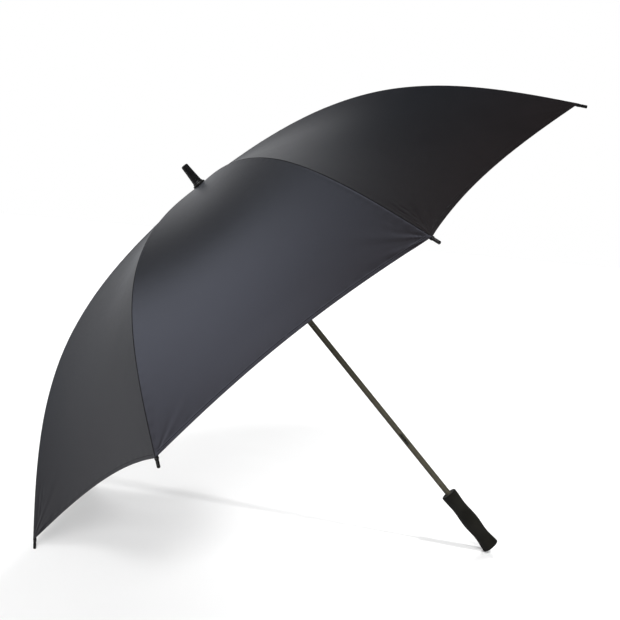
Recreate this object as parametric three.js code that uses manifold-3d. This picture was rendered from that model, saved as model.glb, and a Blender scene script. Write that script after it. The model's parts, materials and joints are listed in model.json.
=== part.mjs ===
// Golf umbrella, 8 ribs, manual opening, standing open on its grip and two rib tips.
// Everything is modelled in millimetres in the umbrella's own frame, with the shaft along +Z from the
// grip's end (z = 0) to the ferrule's tip, and the whole is then leaned over as it stands on a floor.
import * as THREE from 'three';
import { mergeVertices } from 'three/addons/utils/BufferGeometryUtils.js';
import Module from 'manifold-3d';

const wasm = await Module();
wasm.setup();

// ---- driving dimensions -------------------------------------------------------------------------

const GAP = 0.3; // between touching pieces
const RIBS = 8;
const RIB_STEP = (2 * Math.PI) / RIBS;
const FIRST_RIB = RIB_STEP / 2; // two ribs share the lowest place, so that both tips meet the floor

// Overall
const LENGTH = 970; // grip's end to ferrule's tip
const GRIP_LENGTH = 137.3;

// Grip
const GRIP_FLARE_R = 17.3; // at the end
const GRIP_BULGE_R = 16.3; // between the two finger hollows
const GRIP_TOP_R = 16;
const GRIP_HOLLOW_R = 14.3;
const GRIP_EDGE = 2.2; // rounding of the grip's ends
const GRIP_CROWN = 1.2; // the end's bulge
const GRIP_FLAT_R = 5; // its flat middle

// Canopy line, along the top of the fabric over a rib
const CANOPY_ARC = 758.8; // from the crown hole to the fabric's corner
const CROWN_Z = 920.35;
const CROWN_HOLE_R = 10;
const DROOP_CROWN = 0.0778; // slope below level at the crown, radians
const DROOP_HEM = 0.8745; // slope at the corner
const BEND_PEAK = 0.548; // where along the arc the rib bends most
const EVEN_BEND = 0.113; // share of the bend that is spread evenly
const SPANS = 15; // straight stretches along a rib
const JOINT_SPAN = 6; // the stretcher holds the rib after this many spans

// Fabric
const FABRIC = 0.6; // thickness
const SAG = 0.0499; // sag of a gore between its ribs, as a share of the chord
const SCALLOP = 0.0493; // how far the hem curves in between two corners, as a share of the arc
const HALF_GORE_STEPS = 3;

// Ribs
const ROD_R = 1.8;
const RIB_DEPTH = 3.1; // rib's centre below the fabric's top
const SPIGOT_R = 1.2;
const TIP_R = 2.8;
const TIP_START = 0.5; // past the fabric's corner
const TIP_BEYOND = 15; // end of the tip past the fabric's corner
const SOCKET = 6; // how deep the spigot's end lies past the corner
const SHOULDER = 6; // the rod narrows to the spigot this far before the corner
const ROD_START = 8; // from the crown hole, so that a folded rib clears the crown notch
const INNER_ROD_SHORT = 8; // the inner rod stops this far before the rib joint
const OUTER_ROD_SHORT = 7; // and the outer rod starts this far after it

// Pivots
const PIN_R = 0.7;
const PIN_HOLE_R = 1.0;
const EYE_R = 2.0;
const BLADE = 1.6; // thickness of a flattened end
const BLADE_HALF = 1.4; // half its height
const BLADE_LENGTH = 12;
const SLOT = 2.2; // what a flattened end runs in
const CLIP_WIDTH = 4.6; // the slotted clip on the inner rod, round the rib joint
const CLIP_LENGTH = 16;
const CLIP_NOSE_R = 1.2;
const CLIP_DEPTH = 2.0; // below the rib's centre
const CLIP_SLOT = 10.4; // length of its slot, centred on the joint
const CROWN_PIVOT_R = 10.5;
const STRETCHER_FROM_JOINT = 12; // the stretcher's bracket, this far inwards of the rib joint
const BRACKET_DEPTH = 6.5; // stretcher pivot below the rib's centre
const RUNNER_PIVOT_R = 13;
const RUNNER_Z = 700; // runner pivots' height when open
const STRETCHER_ROD_R = 1.6;
const STRETCHER_END = 14; // length of its fork and of its flattened end
const FORK_WIDTH = 4.8;
const FORK_HALF = 1.6; // half the fork's height
const FORK_EYE_R = 1.9;
const FORK_SLOT = 15; // length of the fork's slot, centred on the pivot

// Shaft
const SHAFT_R = 5.8;
const SHAFT_WALL = 0.6;
const SHAFT_BOTTOM = 14;
const SHAFT_TOP = 941;
const BORE_R = SHAFT_R + GAP;
const ROUND = 20; // sides of a round piece

// Runner, heights from its pivots
const RUNNER_TOP = 5;
const RUNNER_FLANGE = 6; // below the pivots
const RUNNER_BOTTOM = -70;
const RUNNER_R = 9;
const RUNNER_FLANGE_R = 16;
const RUNNER_COLLAR_R = 11.5;
const RING_IN_RUNNER = 3; // the runner's ring, inside its pivots
const RING_WIRE_R = 0.5;
const RUNNER_TRAVEL = 397.6; // closes this far down

// Crown
const NOTCH_HEIGHT = 7.2;
const NOTCH_BELOW = 1.8; // its top, under the fabric's top
const NOTCH_R = 13.5;
const CROWN_WIRE_R = 0.55;
const CAP_R = 13.2;
const CAP_HEIGHT = 5.6;
const FERRULE_R = 10.4;

// Catches
const CATCH_WIDTH = 3;
const CATCH_OUT = 2.8; // how far it stands out of the shaft
const CATCH_THICK = 0.9;
const CATCH_RAMP = 26; // length of its ramp
const CATCH_LEG = 62; // from the shoulder to the anchor
const CATCH_ROOT_R = SHAFT_R - SHAFT_WALL - 1.6; // middle of the leg
const CATCH_ANGLE = Math.PI / 2; // both face the side between two ribs
const TOP_CATCH_Z = RUNNER_Z + RUNNER_BOTTOM - 0.6; // shoulder under the open runner
const BOTTOM_CATCH_Z = 264; // shoulder in the closed runner's window

// Stop pin over the open runner
const STOP_PIN_R = 1.2;
const STOP_PIN_OUT = 2.4; // how far each end stands out of the shaft
const STOP_PIN_Z = RUNNER_Z + RUNNER_TOP + STOP_PIN_R + 1;

// ---- geometry helpers ---------------------------------------------------------------------------

/** Six times the signed volume of an indexed geometry. */
function sixVolumes(geometry) {
  const at = geometry.attributes.position;
  const [a, b, c] = [new THREE.Vector3(), new THREE.Vector3(), new THREE.Vector3()];
  let sum = 0;
  for (let i = 0; i < geometry.index.count; i += 3) {
    a.fromBufferAttribute(at, geometry.index.getX(i));
    b.fromBufferAttribute(at, geometry.index.getX(i + 1));
    c.fromBufferAttribute(at, geometry.index.getX(i + 2));
    sum += a.dot(b.cross(c));
  }
  return sum;
}

/** A closed geometry with shared vertices and its faces pointing out. */
function closed(geometry) {
  geometry.deleteAttribute('normal');
  geometry.deleteAttribute('uv');
  const merged = mergeVertices(geometry, 1e-4);
  if (sixVolumes(merged) < 0) {
    const index = merged.index;
    for (let i = 0; i < index.count; i += 3) {
      const second = index.getX(i + 1);
      index.setX(i + 1, index.getX(i + 2));
      index.setX(i + 2, second);
    }
  }
  return merged;
}

function solid(geometry) {
  const merged = closed(geometry);
  return new wasm.Manifold(new wasm.Mesh({
    numProp: 3,
    vertProperties: new Float32Array(merged.attributes.position.array),
    triVerts: new Uint32Array(merged.index.array),
  }));
}

function geometryOf(manifold) {
  const mesh = manifold.getMesh();
  const geometry = new THREE.BufferGeometry();
  geometry.setAttribute('position', new THREE.BufferAttribute(new Float32Array(mesh.vertProperties), 3));
  geometry.setIndex(new THREE.BufferAttribute(new Uint32Array(mesh.triVerts), 1));
  return geometry;
}

/** Joins solids, then cuts others out of them. */
function build(joined, cut = []) {
  let body = solid(joined[0]);
  for (const geometry of joined.slice(1)) body = body.add(solid(geometry));
  for (const geometry of cut) body = body.subtract(solid(geometry));
  return geometryOf(body);
}

/** A turned piece about Z, from [radius, z] points. */
function turned(profile, sides = ROUND) {
  const points = profile.map(([r, z]) => new THREE.Vector2(r, z));
  return new THREE.LatheGeometry(points, sides).rotateX(Math.PI / 2);
}

/** A ring of wire about Z. */
function wireRing(radius, z, wireR, sides = 5) {
  return new THREE.TorusGeometry(radius, wireR, sides, 3 * RIBS).translate(0, 0, z);
}

/** A flat plate of an XZ outline, centred on the plane y = 0. */
function plate(shape, thickness) {
  return new THREE.ExtrudeGeometry(shape, { depth: thickness, bevelEnabled: false, curveSegments: 3 })
    .rotateX(Math.PI / 2)
    .translate(0, thickness / 2, 0);
}

/** Turns a geometry in the XZ plane, from +X towards +Z, and moves it to a point there. */
function inPlane(geometry, [x, z], angle) {
  return geometry.rotateY(-angle).translate(x, 0, z);
}

/** A link's outline: an eye at the origin, with its bar along +X. */
function linkShape(length, eyeR, top, bottom, holeR = 0) {
  const shape = new THREE.Shape();
  shape.moveTo(length, -bottom);
  shape.lineTo(length, top);
  shape.lineTo(0, eyeR);
  shape.absarc(0, 0, eyeR, Math.PI / 2, 1.5 * Math.PI, false);
  shape.closePath();
  if (holeR) shape.holes.push(new THREE.Path().absarc(0, 0, holeR, 0, 2 * Math.PI, true));
  return shape;
}

/** A pin across the XZ plane. */
function crossPin(radius, length, [x, z]) {
  return new THREE.CylinderGeometry(radius, radius, length, 6).translate(x, 0, z);
}

/** A rod through stations {r, z, droop, size}, with a six-sided section square to its line, flat on top. */
function rod(stations) {
  const sides = 6;
  const positions = [];
  const index = [];
  for (const { r, z, droop, size } of stations) {
    for (let j = 0; j < sides; j++) {
      const a = (j / sides) * 2 * Math.PI;
      const [out, across] = [size * Math.sin(a), size * Math.cos(a)];
      positions.push(r + out * Math.sin(droop), across, z + out * Math.cos(droop));
    }
  }
  const last = (stations.length - 1) * sides;
  for (let i = 0; i < last; i += sides) {
    for (let j = 0; j < sides; j++) {
      const k = (j + 1) % sides;
      index.push(i + j, i + k, i + sides + k, i + j, i + sides + k, i + sides + j);
    }
  }
  for (let j = 1; j < sides - 1; j++) {
    index.push(0, j + 1, j, last, last + j, last + j + 1);
  }
  const geometry = new THREE.BufferGeometry();
  geometry.setAttribute('position', new THREE.Float32BufferAttribute(positions, 3));
  geometry.setIndex(index);
  return geometry;
}

// ---- the canopy line ----------------------------------------------------------------------------

/** Slope of the canopy line at a share of its arc. */
function droopAt(share) {
  const bend = share < BEND_PEAK
    ? (share * share) / BEND_PEAK
    : 1 - (1 - share) ** 2 / (1 - BEND_PEAK);
  return DROOP_CROWN + (DROOP_HEM - DROOP_CROWN) * (EVEN_BEND * share + (1 - EVEN_BEND) * bend);
}

const FINE = 40 * SPANS;
const LINE = [{ r: CROWN_HOLE_R, z: CROWN_Z }];
for (let i = 1; i <= FINE; i++) {
  const before = LINE[i - 1];
  const droop = droopAt((i - 0.5) / FINE);
  const step = CANOPY_ARC / FINE;
  LINE.push({ r: before.r + step * Math.cos(droop), z: before.z - step * Math.sin(droop) });
}

/** The canopy line at a distance from the crown hole, or straight on past its ends. */
function lineAt(arc) {
  const place = THREE.MathUtils.clamp((arc / CANOPY_ARC) * FINE, 0, FINE);
  const i = Math.min(Math.floor(place), FINE - 1);
  const droop = droopAt(place / FINE);
  const past = arc - (place / FINE) * CANOPY_ARC;
  return {
    r: THREE.MathUtils.lerp(LINE[i].r, LINE[i + 1].r, place - i) + past * Math.cos(droop),
    z: THREE.MathUtils.lerp(LINE[i].z, LINE[i + 1].z, place - i) - past * Math.sin(droop),
    droop,
  };
}

/** A point at a depth under the canopy line, with the rod size wanted there. */
function under(arc, depth = RIB_DEPTH, size = ROD_R) {
  const { r, z, droop } = lineAt(arc);
  return { r: r - depth * Math.sin(droop), z: z - depth * Math.cos(droop), droop, size };
}

/** Rod stations between two distances, with one at each span's end. */
function stations(from, to) {
  const span = CANOPY_ARC / SPANS;
  const list = [under(from)];
  for (let i = Math.ceil((from + 1) / span); i * span < to - 1; i++) list.push(under(i * span));
  list.push(under(to));
  return list;
}

const point = ({ r, z }) => [r, z];
const towards = ([x0, z0], [x1, z1]) => Math.atan2(z1 - z0, x1 - x0);

const JOINT_ARC = (CANOPY_ARC / SPANS) * JOINT_SPAN;
const BRACKET_ARC = JOINT_ARC - STRETCHER_FROM_JOINT;
const CROWN_PIVOT = point(under(CROWN_PIVOT_R - CROWN_HOLE_R));
const RIB_JOINT = point(under(JOINT_ARC));
const BRACKET = point(under(BRACKET_ARC));
const STRETCHER_PIVOT = point(under(BRACKET_ARC, RIB_DEPTH + BRACKET_DEPTH));
const RUNNER_PIVOT = [RUNNER_PIVOT_R, RUNNER_Z];

// ---- one rib's pieces, in the plane y = 0 --------------------------------------------------------

/** Crown to rib joint: eye, rod, stretcher bracket and the slotted clip of the rib joint. */
function ribInner() {
  const crownHole = crossPin(PIN_HOLE_R - 0.1, SLOT * 2, CROWN_PIVOT);
  const crownBlade = inPlane(
    plate(linkShape(BLADE_LENGTH, EYE_R, BLADE_HALF, BLADE_HALF, PIN_HOLE_R - 0.1), BLADE),
    CROWN_PIVOT,
    towards(CROWN_PIVOT, point(under(ROD_START))),
  );
  // seen from the joint looking back along the rib, the outline's upper side faces down
  const back = towards(RIB_JOINT, BRACKET);
  const clip = inPlane(
    plate(linkShape(CLIP_LENGTH, CLIP_NOSE_R, CLIP_DEPTH, CLIP_NOSE_R), CLIP_WIDTH),
    RIB_JOINT,
    back,
  );
  const slot = inPlane(new THREE.BoxGeometry(CLIP_SLOT, SLOT, 2 * CLIP_WIDTH), RIB_JOINT, back);
  const bracket = inPlane(
    plate(linkShape(BRACKET_DEPTH, EYE_R, EYE_R, EYE_R), BLADE),
    STRETCHER_PIVOT,
    towards(STRETCHER_PIVOT, BRACKET),
  );
  const bar = solid(rod(stations(ROD_START, JOINT_ARC - INNER_ROD_SHORT)));
  return build([
    geometryOf(bar.add(solid(clip)).subtract(solid(slot))),
    crownBlade,
    bracket,
    crossPin(PIN_R, CLIP_WIDTH, RIB_JOINT),
    crossPin(PIN_R, FORK_WIDTH + 0.2, STRETCHER_PIVOT),
  ], [crownHole]);
}

/** Rib joint to the spigot that carries the tip. */
function ribOuter() {
  const blade = inPlane(
    plate(linkShape(BLADE_LENGTH, ROD_R, BLADE_HALF, BLADE_HALF, PIN_HOLE_R), BLADE),
    RIB_JOINT,
    towards(RIB_JOINT, point(under(JOINT_ARC + BLADE_LENGTH))),
  );
  const shoulder = CANOPY_ARC - SHOULDER;
  const line = stations(JOINT_ARC + OUTER_ROD_SHORT, shoulder);
  line.push(under(shoulder + 0.5, RIB_DEPTH, SPIGOT_R), under(CANOPY_ARC + SOCKET, RIB_DEPTH, SPIGOT_R));
  return build([rod(line), blade]);
}

/** The metal tip, a round-ended cap with a socket for the spigot. */
function ribTip() {
  const socketR = SPIGOT_R + GAP;
  const tip = turned([
    [0, SOCKET + GAP],
    [socketR, SOCKET + GAP],
    [socketR, TIP_START],
    [TIP_R, TIP_START],
    [TIP_R, TIP_BEYOND - 1.6],
    [TIP_R * 0.75, TIP_BEYOND - 0.5],
    [0, TIP_BEYOND],
  ], 8);
  const end = under(CANOPY_ARC);
  // the turned piece's axis is laid along the canopy line at the corner
  return tip.rotateY(Math.PI / 2 + end.droop).translate(end.r, 0, end.z);
}

/** Forked at the rib's bracket, flattened at the runner. */
function stretcher() {
  const [from, to] = [STRETCHER_PIVOT, RUNNER_PIVOT];
  const length = Math.hypot(to[0] - from[0], to[1] - from[1]);
  const fork = plate(linkShape(STRETCHER_END, FORK_EYE_R, FORK_HALF, FORK_HALF), FORK_WIDTH);
  const slot = new THREE.BoxGeometry(FORK_SLOT, SLOT, 2 * FORK_WIDTH);
  const tongue = plate(linkShape(STRETCHER_END, EYE_R, BLADE_HALF, BLADE_HALF), BLADE)
    .rotateY(Math.PI)
    .translate(length, 0, 0);
  const rodEnds = [STRETCHER_END - 2, length - STRETCHER_END + 2];
  const bar = rod(rodEnds.map((x) => ({ r: x, z: 0, droop: 0, size: STRETCHER_ROD_R })));
  const body = solid(fork)
    .subtract(solid(slot))
    .add(solid(bar))
    .add(solid(tongue))
    .subtract(solid(crossPin(PIN_HOLE_R, 2 * FORK_WIDTH, [0, 0])));
  return inPlane(geometryOf(body), from, towards(from, to));
}

// ---- the canopy ----------------------------------------------------------------------------------

/**
 * A point on the fabric's top. across runs from -1 on one rib, at angle, to 1 on the next.
 */
function gorePoint(angle, share, across, depth) {
  const scalloped = share * (1 - SCALLOP * (1 - across * across));
  const { r, z, droop } = lineAt(scalloped * CANOPY_ARC);
  const [left, right] = [angle, angle + RIB_STEP].map(
    (a) => new THREE.Vector3(r * Math.cos(a), r * Math.sin(a), z),
  );
  const middle = angle + RIB_STEP / 2;
  const chord = 2 * r * Math.sin(RIB_STEP / 2);
  const at = left.lerp(right, (across + 1) / 2);
  const inset = GAP / 2 * Math.max(0, 1 - Math.abs(across) * HALF_GORE_STEPS);
  at.add(new THREE.Vector3(Math.sin(middle), -Math.cos(middle), 0).multiplyScalar(inset));
  const sagging = new THREE.Vector3(
    Math.sin(droop) * Math.cos(middle),
    Math.sin(droop) * Math.sin(middle),
    Math.cos(droop),
  );
  at.addScaledVector(sagging, -SAG * chord * (1 - across * across));
  const around = Math.atan2(at.y, at.x);
  const out = new THREE.Vector3(
    Math.sin(droop) * Math.cos(around),
    Math.sin(droop) * Math.sin(around),
    Math.cos(droop),
  );
  return at.addScaledVector(out, -depth);
}

/** The fabric that one rib carries, from the middle of one gore to the middle of the next. */
function canopySector() {
  const columns = [];
  for (let j = -HALF_GORE_STEPS; j <= HALF_GORE_STEPS; j++) columns.push(j / HALF_GORE_STEPS);
  const layer = (depth) => {
    const rows = [];
    for (let i = 0; i <= SPANS; i++) {
      rows.push(columns.map((c) => {
        // the far half mirrors the near one
        const p = gorePoint(0, i / SPANS, Math.abs(c) - 1, depth);
        return c < 0 ? new THREE.Vector3(p.x, -p.y, p.z) : p;
      }));
    }
    return rows;
  };
  return sheetSolid(layer(0), layer(FABRIC));
}

/** The closed body between two grids of points. */
function sheetSolid(top, bottom) {
  const [rows, columns] = [top.length, top[0].length];
  const positions = [...top.flat(), ...bottom.flat()].flatMap((p) => [p.x, p.y, p.z]);
  const lower = rows * columns;
  const index = [];
  const quad = (a, b, c, d) => index.push(a, b, c, a, c, d);
  for (let i = 0; i < rows - 1; i++) {
    for (let j = 0; j < columns - 1; j++) {
      const a = i * columns + j;
      quad(a, a + columns, a + columns + 1, a + 1);
      quad(lower + a, lower + a + 1, lower + a + columns + 1, lower + a + columns);
    }
  }
  const wall = (a, b) => quad(a, b, lower + b, lower + a);
  for (let j = 0; j < columns - 1; j++) {
    wall(j, j + 1);
    wall((rows - 1) * columns + j + 1, (rows - 1) * columns + j);
  }
  for (let i = 0; i < rows - 1; i++) {
    wall((i + 1) * columns, i * columns);
    wall(i * columns + columns - 1, (i + 1) * columns + columns - 1);
  }
  const geometry = new THREE.BufferGeometry();
  geometry.setAttribute('position', new THREE.Float32BufferAttribute(positions, 3));
  geometry.setIndex(index);
  return closed(geometry);
}

// ---- the middle pieces ---------------------------------------------------------------------------

/** Radial slots for the ribs' or stretchers' flattened ends. */
function radialSlots(floorR, outerR, middleZ, height) {
  const slots = [];
  for (let k = 0; k < RIBS; k++) {
    const length = outerR + 2 - floorR;
    slots.push(
      new THREE.BoxGeometry(length, SLOT, height)
        .translate(floorR + length / 2, 0, middleZ)
        .rotateZ(FIRST_RIB + k * RIB_STEP),
    );
  }
  return slots;
}

/** A box that stands on the shaft's axis and reaches out on the catches' side. */
function catchSlot(width, from, to) {
  const depth = 3 * SHAFT_R;
  return new THREE.BoxGeometry(depth, width, to - from)
    .translate(depth / 2 + 1, 0, (from + to) / 2)
    .rotateZ(CATCH_ANGLE);
}


/** A pin through the shaft, square to the catches. */
function stopPin(radius, length) {
  return new THREE.CylinderGeometry(radius, radius, length, 12)
    .rotateZ(Math.PI / 2)
    .translate(0, 0, STOP_PIN_Z);
}

function shaft() {
  const inner = SHAFT_R - SHAFT_WALL;
  const tube = turned([
    [inner, SHAFT_BOTTOM],
    [SHAFT_R, SHAFT_BOTTOM],
    [SHAFT_R, SHAFT_TOP],
    [inner, SHAFT_TOP],
    [inner, SHAFT_BOTTOM],
  ]);
  const width = CATCH_WIDTH + 2 * GAP;
  const anchor = 1.2; // half the height of an anchor's hole
  const [topAnchor, bottomAnchor] = [TOP_CATCH_Z - CATCH_LEG, BOTTOM_CATCH_Z + CATCH_LEG];
  return build([tube], [
    catchSlot(width, TOP_CATCH_Z - CATCH_RAMP - 2, TOP_CATCH_Z + 0.8),
    catchSlot(width, BOTTOM_CATCH_Z - 0.8, BOTTOM_CATCH_Z + CATCH_RAMP + 2),
    catchSlot(width, topAnchor - anchor, topAnchor + anchor),
    catchSlot(width, bottomAnchor - anchor, bottomAnchor + anchor),
    stopPin(STOP_PIN_R + GAP, 4 * SHAFT_R),
  ]);
}

/** A sprung leaf inside the shaft. Its shoulder faces up at z = 0 and the leg runs down to the anchor. */
function catchLeaf() {
  const shape = new THREE.Shape();
  const rootIn = CATCH_ROOT_R - CATCH_THICK / 2;
  const rootOut = CATCH_ROOT_R + CATCH_THICK / 2;
  const peak = SHAFT_R + CATCH_OUT;
  shape.moveTo(rootIn, -CATCH_LEG - 0.8);
  shape.lineTo(SHAFT_R - 0.1, -CATCH_LEG - 0.8); // the anchor's foot, in its hole
  shape.lineTo(SHAFT_R - 0.1, -CATCH_LEG + 0.8);
  shape.lineTo(rootOut, -CATCH_LEG + 0.8);
  shape.lineTo(rootOut, -CATCH_RAMP - 1);
  shape.lineTo(peak, -4);
  shape.lineTo(peak, 0);
  shape.lineTo(rootIn, 0);
  shape.lineTo(rootIn, -1.2);
  shape.lineTo(peak - 1.3, -1.2);
  shape.lineTo(peak - 1.3, -4.4);
  shape.lineTo(rootIn, -CATCH_RAMP - 2.4);
  shape.closePath();
  return plate(shape, CATCH_WIDTH);
}

function runner() {
  const z = RUNNER_Z;
  const body = turned([
    [BORE_R, z + RUNNER_BOTTOM],
    [RUNNER_COLLAR_R - 1, z + RUNNER_BOTTOM],
    [RUNNER_COLLAR_R, z + RUNNER_BOTTOM + 1.5],
    [RUNNER_COLLAR_R, z + RUNNER_BOTTOM + 8],
    [RUNNER_R, z + RUNNER_BOTTOM + 13],
    [RUNNER_R, z - RUNNER_FLANGE - 6],
    [RUNNER_FLANGE_R, z - RUNNER_FLANGE],
    [RUNNER_FLANGE_R, z + RUNNER_TOP - 2],
    [RUNNER_FLANGE_R - 2, z + RUNNER_TOP],
    [BORE_R, z + RUNNER_TOP],
    [BORE_R, z + RUNNER_BOTTOM],
  ]);
  const windowZ = BOTTOM_CATCH_Z + RUNNER_TRAVEL; // the closed catch, carried back to the open place
  const window = catchSlot(CATCH_WIDTH + 1.6, windowZ - 1.2, windowZ + CATCH_RAMP + 4);
  const groove = wireRing(RUNNER_PIVOT_R - RING_IN_RUNNER, z, RING_WIRE_R + GAP, 6);
  return build([body], [
    ...radialSlots(RUNNER_R, RUNNER_FLANGE_R, z - RUNNER_FLANGE / 2, 3 * RUNNER_FLANGE),
    window,
    groove,
  ]);
}

function crownNotch() {
  const top = CROWN_Z - NOTCH_BELOW;
  const bottom = top - NOTCH_HEIGHT;
  const body = turned([
    [BORE_R, bottom],
    [NOTCH_R - 1, bottom],
    [NOTCH_R, bottom + 1],
    [NOTCH_R, top - 1],
    [NOTCH_R - 1, top],
    [BORE_R, top],
    [BORE_R, bottom],
  ]);
  return build([body], [
    ...radialSlots(CROWN_PIVOT_R - EYE_R - GAP, NOTCH_R, (bottom + top) / 2, 2 * (top - bottom)),
    wireRing(CROWN_PIVOT_R, CROWN_PIVOT[1], CROWN_WIRE_R + GAP, 6),
  ]);
}

/** The washer that clamps the fabric's crown hole. */
function canopyCap() {
  const bottom = CROWN_Z + GAP;
  return turned([
    [BORE_R, bottom],
    [CAP_R - 1, bottom],
    [CAP_R, bottom + 0.6],
    [CAP_R, bottom + CAP_HEIGHT - 1],
    [CAP_R - 1.2, bottom + CAP_HEIGHT],
    [BORE_R, bottom + CAP_HEIGHT],
    [BORE_R, bottom],
  ]);
}

function ferrule() {
  const bottom = CROWN_Z + CAP_HEIGHT + 2 * GAP;
  return turned([
    [BORE_R, bottom],
    [FERRULE_R, bottom],
    [FERRULE_R - 0.4, bottom + 1.6],
    [9.1, bottom + 5],
    [8.4, bottom + 16],
    [7.7, bottom + 29],
    [7.2, LENGTH - 3],
    [6.3, LENGTH - 0.8],
    [4.2, LENGTH],
    [0, LENGTH],
    [0, SHAFT_TOP + GAP],
    [BORE_R, SHAFT_TOP + GAP],
    [BORE_R, bottom],
  ].reverse());
}

/** The foam grip's radius, with two finger hollows, at a share of its length from the end. */
function gripRadius(share) {
  const wave = (1 - Math.cos(4 * Math.PI * THREE.MathUtils.clamp(share, 0, 1))) / 2; // 0, 1, 0, 1, 0
  const crest = share < 0.5
    ? THREE.MathUtils.lerp(GRIP_FLARE_R, GRIP_BULGE_R, share * 2)
    : THREE.MathUtils.lerp(GRIP_BULGE_R, GRIP_TOP_R, share * 2 - 1);
  return THREE.MathUtils.lerp(crest, GRIP_HOLLOW_R, wave);
}

function grip() {
  const flare = gripRadius(0);
  const profile = [
    [0, SHAFT_BOTTOM - 2],
    [0, 0],
    [GRIP_FLAT_R, 0],
    [(GRIP_FLAT_R + flare - GRIP_EDGE) / 2, GRIP_CROWN * 0.4],
  ];
  for (const a of [0, 45, 90]) {
    const turn = THREE.MathUtils.degToRad(a);
    profile.push([
      flare - GRIP_EDGE + GRIP_EDGE * Math.sin(turn),
      GRIP_CROWN + GRIP_EDGE * (1 - Math.cos(turn)),
    ]);
  }
  const steps = 12;
  for (let i = 1; i < steps; i++) {
    profile.push([gripRadius(i / steps), (i / steps) * GRIP_LENGTH]);
  }
  const top = gripRadius(1);
  profile.push(
    [top, GRIP_LENGTH - GRIP_EDGE],
    [top - 0.7, GRIP_LENGTH - 0.7],
    [top - GRIP_EDGE, GRIP_LENGTH],
    [BORE_R, GRIP_LENGTH],
    [BORE_R, SHAFT_BOTTOM - 2],
    [0, SHAFT_BOTTOM - 2],
  );
  return turned(profile);
}

/** The plug that closes the shaft's lower end inside the grip. */
function shaftPlug() {
  const inside = SHAFT_R - SHAFT_WALL - GAP;
  const head = SHAFT_BOTTOM - GAP;
  return turned([
    [0, head - 1.2],
    [SHAFT_R, head - 1.2],
    [SHAFT_R, head],
    [inside, head],
    [inside, head + 14],
    [inside - 1, head + 16],
    [0, head + 16],
  ]);
}

// ---- materials -----------------------------------------------------------------------------------

const material = (color, roughness, metalness) =>
  new THREE.MeshStandardMaterial({ color, roughness, metalness });

const FABRIC_CLOTH = material(0x3b3e45, 0.75, 0);
const FOAM = material(0x17171a, 0.9, 0);
const GLOSSY_PLASTIC = material(0x0d0d0e, 0.25, 0);
const DARK_PLASTIC = material(0x141416, 0.5, 0);
const FIBREGLASS = material(0x15161a, 0.35, 0);
const BLACK_STEEL = material(0x1d1b1a, 0.35, 0.6);
const TIP_METAL = material(0x4a4c50, 0.3, 0.9);
const SPRING_STEEL = material(0x9a9da1, 0.3, 1);

// ---- assembly ------------------------------------------------------------------------------------

const umbrella = new THREE.Group();

function piece(name, geometry, look, turn = 0) {
  const mesh = new THREE.Mesh(closed(geometry), look);
  mesh.name = name;
  mesh.rotation.z = turn;
  umbrella.add(mesh);
}

piece('shaft', shaft(), BLACK_STEEL);
piece('shaft_plug', shaftPlug(), DARK_PLASTIC);
piece('grip', grip(), FOAM);
piece('ferrule', ferrule(), GLOSSY_PLASTIC);
piece('canopy_cap', canopyCap(), GLOSSY_PLASTIC);
piece('crown_notch', crownNotch(), DARK_PLASTIC);
piece('crown_ring', wireRing(CROWN_PIVOT_R, CROWN_PIVOT[1], CROWN_WIRE_R), SPRING_STEEL);
piece('runner', runner(), DARK_PLASTIC);
piece('runner_ring', wireRing(RUNNER_PIVOT_R - RING_IN_RUNNER, RUNNER_Z, RING_WIRE_R), SPRING_STEEL);
piece('stop_pin', stopPin(STOP_PIN_R, 2 * (SHAFT_R + STOP_PIN_OUT)), SPRING_STEEL);
const topLeaf = catchLeaf().translate(0, 0, TOP_CATCH_Z);
const bottomLeaf = catchLeaf().rotateX(Math.PI).translate(0, 0, BOTTOM_CATCH_Z);
piece('top_spring', topLeaf, SPRING_STEEL, CATCH_ANGLE);
piece('bottom_spring', bottomLeaf, SPRING_STEEL, CATCH_ANGLE);

const ribPieces = [
  ['rib_inner', ribInner(), FIBREGLASS],
  ['rib_outer', ribOuter(), FIBREGLASS],
  ['rib_tip', ribTip(), TIP_METAL],
  ['stretcher', stretcher(), BLACK_STEEL],
  ['canopy_panel', canopySector(), FABRIC_CLOTH],
];
for (const [name, geometry, look] of ribPieces) {
  for (let k = 0; k < RIBS; k++) {
    piece(`${name}_${k + 1}`, geometry.clone(), look, FIRST_RIB + k * RIB_STEP);
  }
}

/** How far the shaft rises from level when the grip's rounded end and two rib tips meet the floor. */
function leanAngle() {
  const tipEnd = under(CANOPY_ARC + TIP_BEYOND - 0.6 * TIP_R);
  const tipRound = 0.75 * TIP_R;
  const rise = tipEnd.z - (GRIP_CROWN + GRIP_EDGE);
  const reach = tipEnd.r * Math.cos(FIRST_RIB) - (gripRadius(0) - GRIP_EDGE);
  return Math.atan2(reach, rise) + Math.asin((tipRound - GRIP_EDGE) / Math.hypot(rise, reach));
}

// the shaft leans towards -X, and the two lowest ribs point below it
const lean = leanAngle();
const up = new THREE.Vector3(-Math.cos(lean), 0, Math.sin(lean));
const below = new THREE.Vector3(-Math.sin(lean), 0, -Math.cos(lean));
umbrella.applyMatrix4(new THREE.Matrix4().makeBasis(below, new THREE.Vector3(0, -1, 0), up));

// the origin is on the floor, in the middle under the umbrella
const model = new THREE.Group();
model.add(umbrella);
model.updateMatrixWorld(true);
const box = new THREE.Box3().setFromObject(umbrella, true);
const middle = box.getCenter(new THREE.Vector3());
umbrella.position.sub(new THREE.Vector3(middle.x, middle.y, box.min.z));

export default model;
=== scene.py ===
"""Golf umbrella, open, standing on its grip's end and two rib tips on a pale floor.

Shapes are worked out in millimetres in the umbrella's own frame, with the shaft along +Z from the grip's
end to the ferrule's tip, and then placed in the part's frame in metres. Ribs are counted from 1, and gore
k lies between rib k and the next. Each rib carries the cloth from the middle of one gore to the middle of
the next.
"""

import json
import math

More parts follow.
